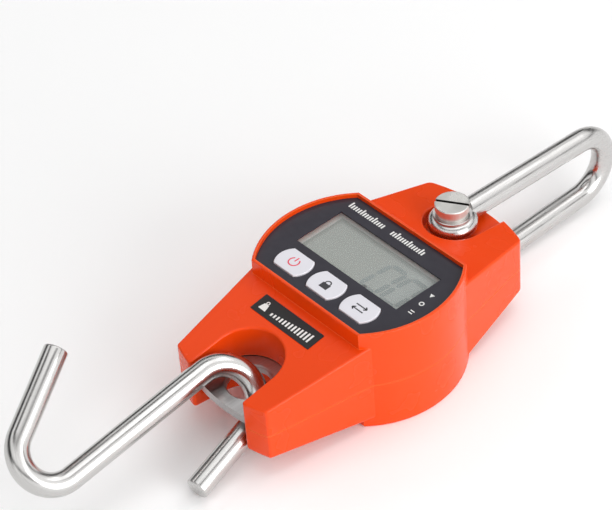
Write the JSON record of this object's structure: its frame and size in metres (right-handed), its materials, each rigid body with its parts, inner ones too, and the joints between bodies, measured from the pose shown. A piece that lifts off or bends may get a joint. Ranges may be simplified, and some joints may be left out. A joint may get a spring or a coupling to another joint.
{
  "type": "digital fish scale",
  "caption": "Hand-held hanging scale: round display housing with a steel shackle on a slotted pin at one end and an S-hook at the other.",
  "frame": {"origin": "centre of the round hub's flat back, on the outer face of the battery cover", "axes": "+Z out of the display, +Y along the pull line towards the shackle, +X to the right of the display"},
  "size_m": [0.07, 0.2499, 0.0514],
  "materials": {
    "housing_orange": "glossy moulded ABS",
    "zinc_screw": "zinc plated",
    "panel_film": "printed film, fine satin",
    "clear_lens": "clear acrylic",
    "lcd_grey": "grey-green LCD polariser",
    "white_plastic": "moulded",
    "black_rubber": "matt",
    "black_plastic": "moulded",
    "board_green": "solder mask",
    "polished_steel": "polished stainless round bar",
    "key_grey": "soft touch key",
    "cell_metal": "satin machined plate",
    "gauge_foil": "foil",
    "white_silicone": "silicone",
    "red_insulation": "PVC insulation",
    "battery_jacket": "plain dark jacket",
    "nickel": "nickel plated",
    "sticker_black": "printed vinyl",
    "black_foam": "foam"
  },
  "bodies": {
    "housing": {"front_shell": "housing_orange", "back_shell": "housing_orange", "case_screws": "zinc_screw", "display_panel": "panel_film", "display_lens": "clear_lens", "lcd_glass": "lcd_grey", "lcd_reflector": "white_plastic", "contact_strip": "black_rubber", "lcd_holder": "black_plastic", "circuit_board": "board_green", "board_chips": "black_plastic", "quartz_can": "polished_steel", "board_screws": "zinc_screw", "key_switches": "black_plastic", "load_cell": "cell_metal", "load_cell_screws": "zinc_screw", "strain_gauges": "gauge_foil", "gauge_coating": "white_silicone", "load_cell_lead": "black_rubber", "battery_cells": "battery_jacket", "battery_contacts": "nickel", "battery_springs": "nickel", "battery_leads": "red_insulation", "pin_spacers": "zinc_screw", "load_sticker": "sticker_black"},
    "power_button": {"power_key": "key_grey", "power_plunger": "white_plastic"},
    "hold_button": {"hold_key": "key_grey", "hold_plunger": "white_plastic"},
    "unit_button": {"unit_key": "key_grey", "unit_plunger": "white_plastic"},
    "shackle": {"shackle_bow": "polished_steel", "shackle_pin": "nickel", "pin_washer": "nickel"},
    "hook": {"s_hook": "polished_steel"},
    "cover": {"battery_cover": "housing_orange", "cover_screws": "zinc_screw", "cover_pad": "black_foam"}
  },
  "joints": [
    {"name": "power_press", "type": "slide", "parent": "housing", "child": "power_button", "axis": [0, 0, -1], "range_m": [0, 0.0004], "stiffness_N_per_m": 600},
    {"name": "hold_press", "type": "slide", "parent": "housing", "child": "hold_button", "axis": [0, 0, -1], "range_m": [0, 0.0004], "stiffness_N_per_m": 600},
    {"name": "unit_press", "type": "slide", "parent": "housing", "child": "unit_button", "axis": [0, 0, -1], "range_m": [0, 0.0004], "stiffness_N_per_m": 600},
    {"name": "shackle_swing", "type": "hinge", "parent": "housing", "child": "shackle", "pos_m": [0, 0.042, 0.0186], "axis": [0, 0, 1], "range_deg": [-22, 22]},
    {"name": "hook_swing", "type": "hinge", "parent": "housing", "child": "hook", "pos_m": [-0.00035, -0.05905, 0.0187], "axis": [-0.8111, 0.487, -0.324], "range_deg": [0, 75]},
    {"name": "cover_lift", "type": "slide", "parent": "housing", "child": "cover", "axis": [0, 0, -1], "range_m": [0, 0.02]}
  ]
}
